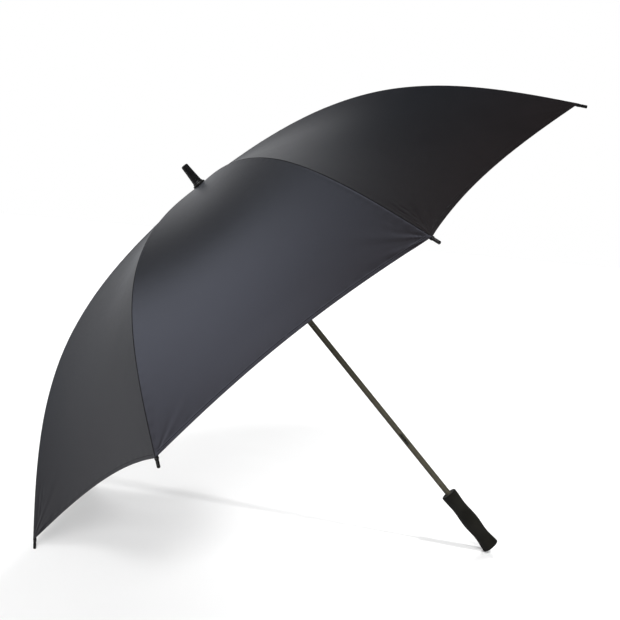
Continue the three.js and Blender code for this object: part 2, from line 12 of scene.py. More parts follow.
import bmesh
import bpy
import numpy as np
from mathutils import Matrix, Vector


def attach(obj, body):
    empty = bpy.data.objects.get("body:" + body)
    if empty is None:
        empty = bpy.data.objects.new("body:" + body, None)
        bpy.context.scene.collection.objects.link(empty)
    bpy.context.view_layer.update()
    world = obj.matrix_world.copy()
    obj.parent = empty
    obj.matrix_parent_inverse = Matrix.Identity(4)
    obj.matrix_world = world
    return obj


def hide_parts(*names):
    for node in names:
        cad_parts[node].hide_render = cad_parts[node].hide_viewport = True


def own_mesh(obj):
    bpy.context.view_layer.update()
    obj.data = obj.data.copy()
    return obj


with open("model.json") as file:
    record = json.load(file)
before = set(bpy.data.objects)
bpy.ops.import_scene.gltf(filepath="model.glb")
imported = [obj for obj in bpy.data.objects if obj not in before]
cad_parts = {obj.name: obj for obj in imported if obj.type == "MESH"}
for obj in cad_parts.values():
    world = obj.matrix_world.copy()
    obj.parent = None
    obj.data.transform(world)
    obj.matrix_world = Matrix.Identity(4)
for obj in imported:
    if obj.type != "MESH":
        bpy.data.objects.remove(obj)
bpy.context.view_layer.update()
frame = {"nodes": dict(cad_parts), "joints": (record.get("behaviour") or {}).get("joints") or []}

# ---- sizes, in millimetres, as in the CAD model ---------------------------------------------------

RIBS = 8
STEP = 2 * math.pi / RIBS
FIRST_RIB = STEP / 2
LENGTH = 970
GRIP_LENGTH = 137.3
CROWN_PIVOT_Z = 917.22

CANOPY_ARC = 758.8
CROWN_Z = 920.35
CROWN_HOLE_R = 10
DROOP_CROWN, DROOP_HEM = 0.0778, 0.8745
BEND_PEAK, EVEN_BEND = 0.548, 0.113
SAG, SCALLOP = 0.0499, 0.0493
JOINT_SHARE = 0.4  # the ribs' joint, as a share of the canopy line
RIB_DEPTH = 3.1
TIP_START, TIP_BEYOND, TIP_R = 0.5, 15, 2.8
BORE_R = 6.1
SHAFT_BOTTOM, SHAFT_TOP = 14, 941

GRIP_FLARE_R, GRIP_BULGE_R, GRIP_TOP_R, GRIP_HOLLOW_R = 17.3, 16.3, 16, 14.3
GRIP_EDGE, GRIP_CROWN, GRIP_FLAT_R = 2.2, 1.2, 5  # rounding of the ends, the end's bulge and its flat
CAP_R, CAP_HEIGHT, GAP = 13.2, 5.6, 0.3
FERRULE_R = 10.4

# Cloth
CLOTH = 0.35  # thickness
TONGUE = 11  # how far the inner cloth reaches under the outer
TONGUE_DEPTH = 0.5
HEM = 8  # width of the turned-up hem
STITCH_INSET = 1.8  # the hem's stitches, from its upper edge
KEEP_INNER, KEEP = 0.135, 0.1  # share of the cloth's width that is left when the umbrella is closed

# ---- the umbrella's own frame ---------------------------------------------------------------------

joints = {j["name"]: j for j in frame["joints"]}
UP = -Vector(joints["runner_slide"]["axis"]).normalized()
crown_pivots = [Vector(joints[f"rib_fold_{k}"]["pos_m"]) for k in range(1, RIBS + 1)]
crown_middle = sum(crown_pivots, Vector()) / RIBS
to_first_rib = (crown_pivots[0] - crown_middle).normalized()
LEVEL = Matrix.Rotation(-FIRST_RIB, 3, UP) @ to_first_rib
BASIS = np.array([LEVEL, UP.cross(LEVEL), UP])
ORIGIN = np.array(crown_middle) - np.array(UP) * CROWN_PIVOT_Z / 1000


def place(points):
    """Points in the umbrella's frame, in millimetres, as points in the part's, in metres."""
    return np.asarray(points, float) / 1000 @ BASIS + ORIGIN


def turn(vectors):
    """Directions in the umbrella's frame as directions in the part's."""
    return np.asarray(vectors, float) @ BASIS


def rib_angle(k):
    return FIRST_RIB + (k - 1) * STEP


def rib_directions(k):
    """Outwards along rib k, and level across it."""
    a = rib_angle(k)
    return np.array([math.cos(a), math.sin(a), 0]), np.array([-math.sin(a), math.cos(a), 0])


# ---- materials ------------------------------------------------------------------------------------


class Nodes:
    """A material's node tree, with short ways to add what the materials here share."""

    def __init__(self, name, **sockets):
        self.material = bpy.data.materials.new(name)
        self.material.use_nodes = True
        self.tree = self.material.node_tree
        self.shader = self.tree.nodes["Principled BSDF"]
        for socket, value in sockets.items():
            self.shader.inputs[socket.replace("_", " ")].default_value = value

    def add(self, kind, links=None, **settings):
        node = self.tree.nodes.new(kind)
        for key, value in settings.items():
            if key in node.inputs:
                node.inputs[key].default_value = value
            else:
                setattr(node, key, value)
        for key, source in (links or {}).items():
            self.tree.links.new(source, node.inputs[key])
        return node

    def link(self, source, socket):
        self.tree.links.new(source, self.shader.inputs[socket])

    def place(self):
        return self.add("ShaderNodeTexCoord").outputs["Object"]

    def cloth_place(self):
        return self.add("ShaderNodeUVMap", uv_map="cloth").outputs["UV"]

    def scaled(self, vector, scale):
        node = self.add("ShaderNodeVectorMath", {0: vector}, operation="MULTIPLY")
        node.inputs[1].default_value = scale
        return node.outputs[0]

    def noise(self, vector, scale, detail=3.0, roughness=0.5):
        node = self.add(
            "ShaderNodeTexNoise", {"Vector": vector}, Scale=scale, Detail=detail, Roughness=roughness
        )
        return node.outputs["Fac"]

    def ramp(self, fac, stops):
        node = self.add("ShaderNodeValToRGB", {"Fac": fac})
        elements = node.color_ramp.elements
        for at, _ in stops[2:]:
            elements.new(at)
        for element, (at, colour) in zip(sorted(elements, key=lambda e: e.position), sorted(stops)):
            element.position = at
            element.color = (*colour, 1)
        return node.outputs["Color"]

    def span(self, fac, low, high, start=0.0, end=1.0):
        node = self.add("ShaderNodeMapRange", {"Value": fac})
        for key, value in (("From Min", start), ("From Max", end), ("To Min", low), ("To Max", high)):
            node.inputs[key].default_value = value
        return node.outputs["Result"]

    def maths(self, operation, a, b):
        node = self.add("ShaderNodeMath", operation=operation)
        for i, x in enumerate((a, b)):
            if hasattr(x, "is_output"):
                self.tree.links.new(x, node.inputs[i])
            else:
                node.inputs[i].default_value = x
        return node.outputs[0]

    def bump(self, height, distance, strength=1.0, normal=None):
        links = {"Height": height}
        if normal is not None:
            links["Normal"] = normal
        return self.add("ShaderNodeBump", links, Distance=distance, Strength=strength).outputs["Normal"]


def cloth_material():
    """Tight black polyester, a little sleek, with a bluish cast and a warmer tint towards the hem."""
    n = Nodes(
        "canopy_cloth",
        Specular_IOR_Level=0.45,
        Specular_Tint=(0.84, 0.91, 1.18, 1.0),
        Sheen_Weight=0.03,
        Sheen_Roughness=0.45,
        Sheen_Tint=(0.8, 0.86, 1.0, 1.0),
    )
    uv = n.cloth_place()
    where = n.place()
    # yarns in both directions, in metres along the cloth
    across, along = n.scaled(uv, (1, 0.03, 0)), n.scaled(uv, (0.03, 1, 0))
    warp = n.add("ShaderNodeTexWave", {"Vector": across}, bands_direction="X", Scale=320.0)
    weft = n.add("ShaderNodeTexWave", {"Vector": along}, bands_direction="Y", Scale=320.0)
    weave = n.maths("MAXIMUM", warp.outputs["Fac"], weft.outputs["Fac"])
    slub = n.noise(n.scaled(uv, (60, 900, 1)), 1.0, detail=2.0)
    broad = n.noise(where, 5.5, detail=3.0)
    patches = n.noise(where, 38.0, detail=2.0)
    tone = n.maths("ADD", n.maths("MULTIPLY", broad, 0.65), n.maths("MULTIPLY", patches, 0.35))
    cool = n.ramp(tone, [(0.3, (0.0042, 0.0045, 0.0054)), (0.7, (0.0066, 0.0070, 0.0082))])
    warm = n.ramp(tone, [(0.3, (0.0068, 0.0047, 0.0042)), (0.7, (0.0098, 0.0068, 0.0062))])
    down = n.add("ShaderNodeSeparateXYZ", {"Vector": uv}).outputs["Y"]
    shade = n.add("ShaderNodeMix", {"Factor": n.span(down, 0.0, 0.85, 0.5, 0.79)}, data_type="RGBA")
    n.tree.links.new(cool, shade.inputs["A"])
    n.tree.links.new(warm, shade.inputs["B"])
    n.link(shade.outputs["Result"], "Base Color")
    rough = n.maths("ADD", tone, n.maths("MULTIPLY", weave, 0.15))
    n.link(n.span(rough, 0.285, 0.35, 0.3, 0.85), "Roughness")
    fine = n.bump(weave, 0.00006, 0.35)
    n.link(n.bump(slub, 0.00012, 0.25, fine), "Normal")
    return n.material


def thread_material():
    """Black sewing thread and tape, matt and a little fuzzy."""
    n = Nodes("seam_thread", Roughness=0.8, Sheen_Weight=0.02, Specular_IOR_Level=0.15)
    where = n.place()
    n.link(
        n.ramp(n.noise(where, 900.0), [(0.3, (0.004, 0.004, 0.0045)), (0.7, (0.009, 0.009, 0.01))]),
        "Base Color",
    )
    n.link(n.bump(n.noise(where, 2500.0, 1.0), 0.0001, 0.5), "Normal")
    return n.material


def foam_material():
    """Fine-celled black foam: matt, with open pores and a slight grey bloom where it is handled."""
    n = Nodes("grip_foam", Specular_IOR_Level=0.2, Sheen_Weight=0.03, Sheen_Roughness=0.5)
    where = n.place()
    cells = n.add("ShaderNodeTexVoronoi", {"Vector": where}, Scale=1500.0)
    cell = n.span(cells.outputs["Distance"], 0.0, 1.0, 0.05, 0.6)
    grain = n.noise(where, 620.0, detail=4.0, roughness=0.65)
    bloom = n.noise(where, 42.0, detail=3.0)
    n.link(
        n.ramp(n.maths("ADD", n.maths("MULTIPLY", bloom, 0.6), n.maths("MULTIPLY", grain, 0.4)),
               [(0.32, (0.0045, 0.0042, 0.0034)), (0.7, (0.0105, 0.01, 0.008))]),
        "Base Color",
    )
    n.link(n.span(grain, 0.62, 0.86, 0.3, 0.7), "Roughness")
    fine = n.bump(cell, 0.00025, 0.4)
    n.link(n.bump(grain, 0.0004, 0.35, fine), "Normal")
    return n.material


def plastic_material(name, dark, light, roughness, coat=0.0, grain=0.0003):
    """Moulded plastic with a faint grain and a little handling wear."""
    n = Nodes(name, Specular_IOR_Level=0.5, Coat_Weight=coat, Coat_Roughness=0.12)
    where = n.place()
    smear = n.noise(where, 70.0, detail=4.0, roughness=0.6)
    fine = n.noise(where, 900.0, detail=2.0)
    n.link(n.ramp(smear, [(0.3, dark), (0.72, light)]), "Base Color")
    n.link(n.span(smear, roughness[0], roughness[1], 0.3, 0.7), "Roughness")
    n.link(n.bump(fine, grain, 0.15), "Normal")
    return n.material


def steel_material(name, dark, light, roughness, metallic):
    """Metal, or glass fibre, with drawing marks along the shaft and small patches of wear."""
    n = Nodes(name, Metallic=metallic, Specular_IOR_Level=0.5)
    where = n.place()
    # the marks run along the shaft, so the coordinates are turned to the umbrella's own frame
    turned_to_shaft = n.add("ShaderNodeMapping", {"Vector": where}, vector_type="TEXTURE")
    turned_to_shaft.inputs["Rotation"].default_value = Matrix(BASIS.tolist()).transposed().to_euler()
    marks = n.noise(n.scaled(turned_to_shaft.outputs[0], (900.0, 900.0, 40.0)), 1.0, detail=3.0)
    wear = n.noise(where, 120.0, detail=5.0, roughness=0.65)
    n.link(n.ramp(n.maths("ADD", n.maths("MULTIPLY", wear, 0.6), n.maths("MULTIPLY", marks, 0.4)),
                  [(0.35, dark), (0.68, light)]), "Base Color")
    n.link(n.span(marks, roughness[0], roughness[1], 0.3, 0.7), "Roughness")
    n.link(n.bump(marks, 0.00008, 0.3), "Normal")
    return n.material


CLOTH_LOOK = cloth_material()
THREAD_LOOK = thread_material()
FOAM_LOOK = foam_material()
GLOSS_LOOK = plastic_material(
    "gloss_black", (0.004, 0.004, 0.0042), (0.008, 0.008, 0.0082), roughness=(0.12, 0.22), coat=0.3
)
MOULDED_LOOK = plastic_material(
    "moulded_black", (0.009, 0.009, 0.01), (0.02, 0.02, 0.021), roughness=(0.4, 0.55), grain=0.0005
)
FIBRE_LOOK = steel_material(
    "fibreglass", (0.008, 0.0085, 0.01), (0.022, 0.023, 0.026), roughness=(0.28, 0.42), metallic=0.0
)
ENAMEL_LOOK = steel_material(
    "painted_steel", (0.088, 0.08, 0.059), (0.132, 0.12, 0.09), roughness=(0.3, 0.42), metallic=0.6
)
TIP_LOOK = steel_material(
    "tip_metal", (0.03, 0.029, 0.029), (0.07, 0.068, 0.068), roughness=(0.24, 0.38), metallic=0.9
)
SPRING_LOOK = steel_material(
    "spring_steel", (0.3, 0.3, 0.31), (0.46, 0.46, 0.47), roughness=(0.22, 0.36), metallic=1.0
)

# ---- mesh helpers ---------------------------------------------------------------------------------


def add_object(name, mesh, look):
    """A new object in the scene with one material."""
    piece = bpy.data.objects.new(name, mesh)
    bpy.context.scene.collection.objects.link(piece)
    mesh.materials.append(look)
    return piece


def grid_faces(rows, columns, closed=False):
    """Quads of a grid of points stored row by row; closed joins the last column to the first."""
    i, j = np.meshgrid(np.arange(rows - 1), np.arange(columns if closed else columns - 1), indexing="ij")
    i, j = i.ravel(), j.ravel()
    k = (j + 1) % columns
    return np.stack([i * columns + j, i * columns + k, (i + 1) * columns + k, (i + 1) * columns + j], 1)


def smooth_piece(name, points, faces, look, sharp=35):
    """A closed piece from points in the umbrella's frame, shaded smooth but for its sharp edges."""
    mesh = bpy.data.meshes.new(name)
    mesh.from_pydata(place(points).tolist(), [], [list(map(int, f)) for f in faces])
    made = bmesh.new()
    made.from_mesh(mesh)
    bmesh.ops.remove_doubles(made, verts=made.verts, dist=2e-6)
    bmesh.ops.recalc_face_normals(made, faces=made.faces)
    made.to_mesh(mesh)
    made.free()
    mesh.polygons.foreach_set("use_smooth", [True] * len(mesh.polygons))
    mesh.set_sharp_from_angle(angle=math.radians(sharp))
    return add_object(name, mesh, look)


def rounded(profile, steps=5):
    """An outline of (x, y, rounding), with each rounded corner cut by a short curve."""
    points = [np.array(p[:2], float) for p in profile]
    roundings = [p[2] if len(p) > 2 else 0 for p in profile]
    out = [points[0]]
    for before, at, after, size in zip(points, points[1:], points[2:], roundings[1:]):
        if size == 0:
            out.append(at)
            continue
        a = at + (before - at) / np.linalg.norm(before - at) * size
        b = at + (after - at) / np.linalg.norm(after - at) * size
        for t in np.linspace(0, 1, steps + 1):
            out.append((1 - t) ** 2 * a + 2 * t * (1 - t) * at + t * t * b)
    out.append(points[-1])
    return out


def turned(name, profile, look, sides=96, start=(0, 0, 0), direction=(0, 0, 1), sharp=35):
    """A piece turned about an axis from start along direction, from [radius, distance] points."""
    profile = np.array(profile, float)
    a = np.arange(sides) / sides * 2 * math.pi
    direction = np.array(direction, float) / np.linalg.norm(direction)
    side = np.cross(direction, [0.3, 0.9, 0.1])
    side /= np.linalg.norm(side)
    other = np.cross(direction, side)
    ring = np.cos(a)[:, None] * side + np.sin(a)[:, None] * other
    points = [np.array(start) + r * ring + z * direction for r, z in profile]
    faces = grid_faces(len(profile), sides, closed=True)
    return smooth_piece(name, np.concatenate(points), faces, look, sharp)


# ---- the canopy's shape ---------------------------------------------------------------------------


def droop_at(share):
    """Slope of the canopy line below level, at a share of its arc."""
    bend = np.where(share < BEND_PEAK, share**2 / BEND_PEAK, 1 - (1 - share) ** 2 / (1 - BEND_PEAK))
    return DROOP_CROWN + (DROOP_HEM - DROOP_CROWN) * (EVEN_BEND * share + (1 - EVEN_BEND) * bend)


FINE = 600  # steps along the canopy line
fine_share = np.linspace(0, 1, FINE + 1)
fine_droop = droop_at((fine_share[1:] + fine_share[:-1]) / 2)
fine_r = CROWN_HOLE_R + np.concatenate([[0], np.cumsum(np.cos(fine_droop))]) * CANOPY_ARC / FINE
fine_z = CROWN_Z - np.concatenate([[0], np.cumsum(np.sin(fine_droop))]) * CANOPY_ARC / FINE


def line_at(arc):
    """Radius, height and slope of the canopy line over a rib, at a distance from the crown hole."""
    share = np.clip(np.asarray(arc, float) / CANOPY_ARC, 0, 1)
    past = arc - share * CANOPY_ARC
    droop = droop_at(share)
    r = np.interp(share, fine_share, fine_r) + past * np.cos(droop)
    z = np.interp(share, fine_share, fine_z) - past * np.sin(droop)
    return r, z, droop


def smoothstep(x, low, high):
    """0 below low, 1 above high, and a smooth rise between them."""
    t = np.clip((x - low) / (high - low), 0, 1)
    return t * t * (3 - 2 * t)


def bell(x, middle, width):
    """1 at the middle, fading out on both sides of it."""
    return np.exp(-(((x - middle) / width) ** 2))


# how hard the cloth is pulled at each rib's corner, from the first rib
CORNER_PULL = np.array([0.8, 0.75, 0.3, 1.3, 0.6, 0.9, 0.45, 1.0])


def relief(gore, arc, to_hem, to_rib, across):
    """How far the cloth stands out from its plain shape, in mm: seams, hem, puckers and folds."""
    g = gore % RIBS
    side = np.sign(across)
    # a felled seam: the stitched groove over the rib, and the folded allowances under the cloth beside it
    seam = (-0.3 * bell(to_rib, 0, 0.8) + 0.08 * bell(to_rib, 3.6, 2.6)) * smoothstep(arc, 12, 40)
    pucker = 0.07 * np.sin(arc / 3.4 + 2.1 * g + side) * bell(to_rib, 5, 5.5) * smoothstep(arc, 60, 140)
    # the turned-up hem and its row of stitching
    hem = 0.3 * (1 - smoothstep(to_hem, HEM - 1.2, HEM + 0.4))
    hem = hem - 0.25 * bell(to_hem, HEM - STITCH_INSET, 0.8)
    hem_pucker = 0.12 * np.sin(to_rib / 4.1 + 1.3 * g) * bell(to_hem, HEM, 6) * smoothstep(to_rib, 8, 30)
    # folds that run out of each corner, where the cloth is pulled tight to the rib's tip
    reach = np.hypot(to_rib, to_hem)
    fan = np.arctan2(to_rib, to_hem + 1e-6)
    pull = np.where(side < 0, CORNER_PULL[g], CORNER_PULL[(g + 1) % RIBS] * 0.35)
    folds = np.sin(fan * 11 + 1.9 * g + 2.2 * side + 0.012 * reach) + 0.5 * np.sin(fan * 19 + 0.7 * g)
    folds *= 0.5 * pull * np.exp(-((reach / 60) ** 1.6))
    folds *= smoothstep(reach, 4, 22) * smoothstep(to_rib, 2, 10)
    # two fine creases along the rib and one deeper fold away from it, on the side that is pulled more
    crease = bell(to_rib, 9 + 0.1 * to_hem, 2.4) + 0.9 * bell(to_rib, 16 + 0.16 * to_hem, 2.6)
    crease *= smoothstep(reach, 22, 40) * (1 - smoothstep(reach, 66, 105))
    deep = 1.6 * bell(fan, 0.66, 0.1) * smoothstep(reach, 10, 30) * (1 - smoothstep(reach, 48, 84))
    crease = -0.4 * (crease + deep) * np.where(side < 0, pull**2, 0.12)
    # slack between the ribs
    slack = 0.9 * np.sin(arc / 88 + 1.4 * g) * np.sin(across * 2.4 + 0.9 * g)
    slack += 0.35 * np.sin(arc / 47 + 2.2 * g)
    slack *= (1 - across**2) ** 1.5 * smoothstep(arc, 80, 260) * smoothstep(to_hem, 0, 60)
    # small gathers round the crown
    gathers = 0.35 * np.sin(across * 9 + g) * bell(arc, 14, 22) * (1 - across**2)
    return seam + pucker + hem + hem_pucker + folds + crease + slack + gathers


def cloth_point(gore, share, across, depth=0.0):
    """A point on the cloth: share from crown to hem, across from -1 on the gore's rib to 1 on the next."""
    inward = 1 - SCALLOP * (1 - across**2)
    arc = share * inward * CANOPY_ARC
    r, z, droop = line_at(arc)
    first = rib_angle(gore)
    middle = first + STEP / 2
    chord = 2 * r * math.sin(STEP / 2)
    left = np.stack([r * math.cos(first), r * math.sin(first), z], -1)
    right = np.stack([r * math.cos(first + STEP), r * math.sin(first + STEP), z], -1)
    at = left + (right - left) * ((across + 1) / 2)[..., None]
    level = np.sin(droop)
    sagging = np.stack([level * math.cos(middle), level * math.sin(middle), np.cos(droop)], -1)
    at = at - sagging * (SAG * chord * (1 - across**2))[..., None]
    around = np.arctan2(at[..., 1], at[..., 0])
    out = np.stack([level * np.cos(around), level * np.sin(around), np.cos(droop)], -1)
    to_hem = (1 - share) * inward * CANOPY_ARC
    to_rib = (1 - np.abs(across)) * chord / 2
    stands = relief(gore, arc, to_hem, to_rib, across) - depth
    return at + out * stands[..., None]


CROWD = 1.9  # how closely the columns crowd towards the rib
RIB_SHIFT = 0.31  # metres between the cloth coordinates of two ribs, so that no two weaves are alike


def half_sector(k, side, shares, columns, depth):
    """Points, outward normals and cloth coordinates on one side of rib k, from the rib outwards."""
    gore = k if side > 0 else k - 1
    u = np.linspace(0, 1, columns + 1)
    across = side * (u**CROWD - 1)
    share, across = np.meshgrid(shares, across, indexing="ij")
    depth = np.broadcast_to(np.asarray(depth, float)[:, None], share.shape)
    points = cloth_point(gore, share, across, depth)
    # normals come from points a little way off in both directions
    along_step, across_step = 0.4 / CANOPY_ARC, 0.0015
    low, high = np.maximum(share - along_step, 0), np.minimum(share + along_step, 1)
    along = cloth_point(gore, high, across, depth) - cloth_point(gore, low, across, depth)
    near = np.clip(across - across_step, -1, 1)
    far = np.clip(across + across_step, -1, 1)
    sideways = cloth_point(gore, share, far, depth) - cloth_point(gore, share, near, depth)
    normals = np.cross(along, sideways)
    normals /= np.linalg.norm(normals, axis=-1, keepdims=True)
    normals *= np.sign(np.sum(normals * points * [1, 1, 0] + normals * [0, 0, 1], -1, keepdims=True))
    r, _, _ = line_at(share * CANOPY_ARC)
    width = side * (1 - np.abs(across)) * r * math.sin(STEP / 2)
    cloth = np.stack([width / 1000 + RIB_SHIFT * k, share * CANOPY_ARC / 1000], -1)
    return points, normals, cloth


def cloth_sector(name, k, shares, columns, depth=None):
    """The cloth that rib k carries between two shares of the canopy line, as a thin closed sheet."""
    depth = np.zeros(len(shares)) if depth is None else depth
    left_p, left_n, left_uv = (g[:, ::-1] for g in half_sector(k, -1, shares, columns, depth))
    right_p, right_n, right_uv = half_sector(k, 1, shares, columns, depth)
    rows, wide = len(shares), 2 * columns + 1
    top = np.concatenate([left_p[:, :-1], right_p], 1)
    average = np.concatenate([left_n[:, :-1], (left_n[:, -1:] + right_n[:, :1]) / 2, right_n[:, 1:]], 1)
    under = top - average * CLOTH
    faces, normals, uvs = [], [], []
    i, j = (x.ravel() for x in np.meshgrid(np.arange(rows - 1), np.arange(wide - 1), indexing="ij"))
    corners = [(i, j), (i, j + 1), (i + 1, j + 1), (i + 1, j)]
    # each side of the rib keeps its own normals and coordinates at the seam
    both_n, both_uv = (
        np.stack([np.concatenate([left, right[:, 1:]], 1), np.concatenate([left[:, :-1], right], 1)])
        for left, right in ((left_n, right_n), (left_uv, right_uv))
    )
    half = (j >= columns).astype(int)
    quads = np.stack([a * wide + b for a, b in corners], 1)
    quad_n = np.stack([both_n[half, a, b] for a, b in corners], 1)
    quad_uv = np.stack([both_uv[half, a, b] for a, b in corners], 1)
    p = top.reshape(-1, 3)[quads]
    flat = np.cross(p[:, 1] - p[:, 0], p[:, 3] - p[:, 0])
    if np.sum(flat * quad_n[:, 0]) < 0:
        quads, quad_n, quad_uv = quads[:, ::-1], quad_n[:, ::-1], quad_uv[:, ::-1]
    faces += [quads, quads[:, ::-1] + rows * wide]
    normals += [quad_n, -quad_n[:, ::-1]]
    uvs += [quad_uv, quad_uv[:, ::-1]]
    # the rim between the two layers
    lap = (
        [(0, b) for b in range(wide)]
        + [(a, wide - 1) for a in range(1, rows)]
        + [(rows - 1, b) for b in range(wide - 2, -1, -1)]
        + [(a, 0) for a in range(rows - 2, 0, -1)]
    )
    points = np.concatenate([top.reshape(-1, 3), under.reshape(-1, 3)])
    rim = np.array([a * wide + b for a, b in lap])
    following = np.roll(rim, -1)
    walls = np.stack([rim, rim + rows * wide, following + rows * wide, following], 1)
    q = points[walls]
    wall_n = np.cross(q[:, 1] - q[:, 0], q[:, 3] - q[:, 0])
    wall_n /= np.linalg.norm(wall_n, axis=1, keepdims=True) + 1e-12
    if np.sum(wall_n * (q.mean(1) - top[rows // 2, columns])) < 0:
        walls, wall_n = walls[:, ::-1], -wall_n
    cloth = np.concatenate([left_uv[:, :-1], right_uv], 1).reshape(-1, 2)
    faces.append(walls)
    normals.append(np.repeat(wall_n[:, None], 4, 1))
    uvs.append(cloth[walls % (rows * wide)])
    mesh = bpy.data.meshes.new(name)
    faces = np.concatenate(faces)
    mesh.from_pydata(place(points).tolist(), [], faces.tolist())
    layer = mesh.uv_layers.new(name="cloth")
    layer.data.foreach_set("uv", np.concatenate(uvs).astype(np.float32).ravel())
    mesh.polygons.foreach_set("use_smooth", [True] * len(mesh.polygons))
    mesh.normals_split_custom_set(turn(np.concatenate(normals).reshape(-1, 3)).tolist())
    mesh.update()
    return add_object(name, mesh, CLOTH_LOOK)


def spaced(low, high, step_low, step_high):
    """Values from low to high whose spacing goes from one step to the other."""
    count = int(math.ceil((high - low) / ((step_low + step_high) / 2)))
    t = np.linspace(0, 1, count + 1)
    slope = (step_high - step_low) / (step_high + step_low)
    return low + (high - low) * (t * (1 - slope) + slope * t * t)


JOINT_ARC = JOINT_SHARE * CANOPY_ARC
COLUMNS = 36  # of mesh on each side of a rib
CORNER = 130  # length next to the hem that is meshed more finely, for the folds
hem_rows = CANOPY_ARC - np.array([11, 9.5, 8.6, 8, 7.4, 6.8, 6.2, 5.6, 4.8, 3, 1.2, 0])
outer_shares = np.concatenate([
    spaced(JOINT_ARC, CANOPY_ARC - CORNER, 8, 6)[:-1],
    spaced(CANOPY_ARC - CORNER, CANOPY_ARC - 11, 6, 2.4)[:-1],
    hem_rows,
]) / CANOPY_ARC
inner_arcs = np.concatenate([spaced(0, JOINT_ARC, 4, 8), JOINT_ARC + np.array([0.6, 4, 8, TONGUE])])
inner_depth = np.where(inner_arcs > JOINT_ARC + 0.1, TONGUE_DEPTH, 0)


def stitch_row(name, k):
    """A row of short stitches along the hem of rib k's sector."""
    pitch, length, thick, first = 3.2, 2.1, 0.24, 5
    share = 1 - (HEM - STITCH_INSET) / CANOPY_ARC
    points, faces, sides = [], [], 6
    ring = np.arange(sides) / sides * 2 * math.pi
    # a stitch's loops of points: how far along it they are, and their share of its thickness
    loops = ((-0.15, 0.35), (0.12, 1), (0.88, 1), (1.15, 0.35))
    for side in (-1, 1):
        gore = k if side > 0 else k - 1
        r, _, _ = line_at(CANOPY_ARC)
        half = float(r) * math.sin(STEP / 2)
        for i in range(int((half - first) / pitch)):
            middle = first + pitch * (i + 0.5)
            across = side * (np.array([middle - length / 2, middle + length / 2]) / half - 1)
            ends = cloth_point(gore, np.full(2, share), across, np.full(2, -thick * 0.6))
            run = ends[1] - ends[0]
            run /= np.linalg.norm(run)
            aside = np.cross(run, [0, 0, 1.0])
            aside /= np.linalg.norm(aside)
            over = np.cross(run, aside)
            base = len(points)
            for along, size in loops:
                centre = ends[0] + (ends[1] - ends[0]) * along
                for t in ring:
                    points.append(centre + thick * size * (math.cos(t) * aside + math.sin(t) * over))
            last = base + (len(loops) - 1) * sides
            faces += [[base + int(v) for v in f] for f in grid_faces(len(loops), sides, closed=True)]
            faces += [[base + v for v in range(sides)], [last + v for v in reversed(range(sides))]]
    return smooth_piece(name, np.array(points), faces, THREAD_LOOK, sharp=60)


def tip_pocket(name, k):
    """The sewn pocket under each corner that the rib's end is pushed into, open at the hem."""
    # distances past the corner, and the pocket's size there
    stations = np.array([-30, -27, -20, -12, -6, -2, 0.3])
    half_width = np.array([2.3, 2.6, 2.9, 3.1, 3.3, 3.8, 3.7])
    half_height = np.array([2.0, 2.05, 2.1, 2.15, 2.3, 2.9, 3.1])
    radial, sideways = rib_directions(k)
    sides, steps, wall, lining = 28, 22, 0.55, 13
    ring = np.arange(sides) / sides * 2 * math.pi
    fine = np.linspace(stations[0], stations[-1], steps)
    wide, high = (np.interp(fine, stations, x) for x in (half_width, half_height))

    def loop(index, shrink):
        r, z, droop = line_at(CANOPY_ARC + fine[index])
        out = radial * math.sin(droop) + np.array([0, 0, math.cos(droop)])
        centre = radial * float(r) + np.array([0, 0, float(z)]) - out * RIB_DEPTH
        w, h = wide[index] - shrink, high[index] - shrink
        return centre + np.cos(ring)[:, None] * w * sideways + np.sin(ring)[:, None] * h * out

    # up the outside, and back down the lining to where the rod fills it
    loops = [loop(i, 0) for i in range(steps)]
    loops += [loop(i, wall) for i in reversed(range(steps - lining, steps))]
    loops.append(np.repeat(loops[-1].mean(0)[None], sides, 0))
    loops.insert(0, np.repeat(loops[0].mean(0)[None], sides, 0))
    points = np.concatenate(loops)
    return smooth_piece(name, points, grid_faces(len(loops), sides, closed=True), THREAD_LOOK, sharp=50)


def seam_cord(name, k, low, high):
    """The topstitching in the seam over rib k: a flattened cord of thread, with a twist along it."""
    spacing, sides, half_width, half_height, sunk = 2.2, 6, 0.75, 0.28, 0.3
    arcs = np.arange(low, high, spacing)
    radial, sideways = rib_directions(k)
    r, z, droop = line_at(arcs)
    out = radial * np.sin(droop)[:, None] + np.array([0, 0, 1]) * np.cos(droop)[:, None]
    centre = radial * r[:, None] + np.array([0, 0, 1]) * z[:, None] - out * sunk
    ring = np.arange(sides) / sides * 2 * math.pi
    swell = 1 + 0.12 * np.sin(arcs * 2.9)
    loops = (
        centre[:, None]
        + (np.cos(ring)[None, :] * (half_width * swell)[:, None])[..., None] * sideways
        + (np.sin(ring)[None, :] * (half_height * swell)[:, None])[..., None] * out[:, None]
    )
    caps = [np.repeat(centre[i][None], sides, 0) for i in (0, -1)]
    points = np.concatenate([caps[0], *loops, caps[1]])
    return smooth_piece(name, points, grid_faces(len(arcs) + 2, sides, closed=True), THREAD_LOOK, sharp=60)


def squash_to_rib(piece):
    """Gives a piece its own copy of its mesh."""
    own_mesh(piece)


